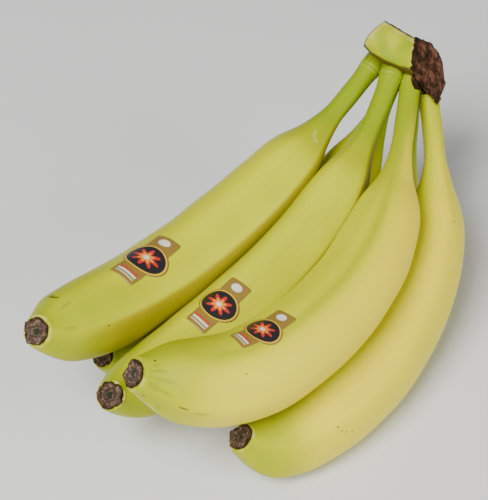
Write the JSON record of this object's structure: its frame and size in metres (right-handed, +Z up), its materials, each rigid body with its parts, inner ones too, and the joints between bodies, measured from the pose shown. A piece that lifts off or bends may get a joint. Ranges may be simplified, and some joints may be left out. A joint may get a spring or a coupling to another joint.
{
  "type": "bunch of bananas",
  "caption": "Bunch of curved bananas joined at one crown, lying on the backs of its lower row, with small curved labels on the upper fingers.",
  "frame": {"origin": "middle of the bunch's footprint, on the plane that it rests on", "axes": "+Z up, +X to the right and +Y away from a viewer who looks into the hollow of the hand; the crown is at +X +Y and the tips point to -X -Y"},
  "size_m": [0.1927, 0.2034, 0.1082],
  "materials": {
    "peel": "yellow banana peel with green stems and tips, dull wax gloss",
    "paper": "coated paper label, gold brown"
  },
  "bodies": {
    "root": {"banana_hand": "peel", "label_left": "paper", "label_middle": "paper", "label_right": "paper"}
  },
  "joints": []
}
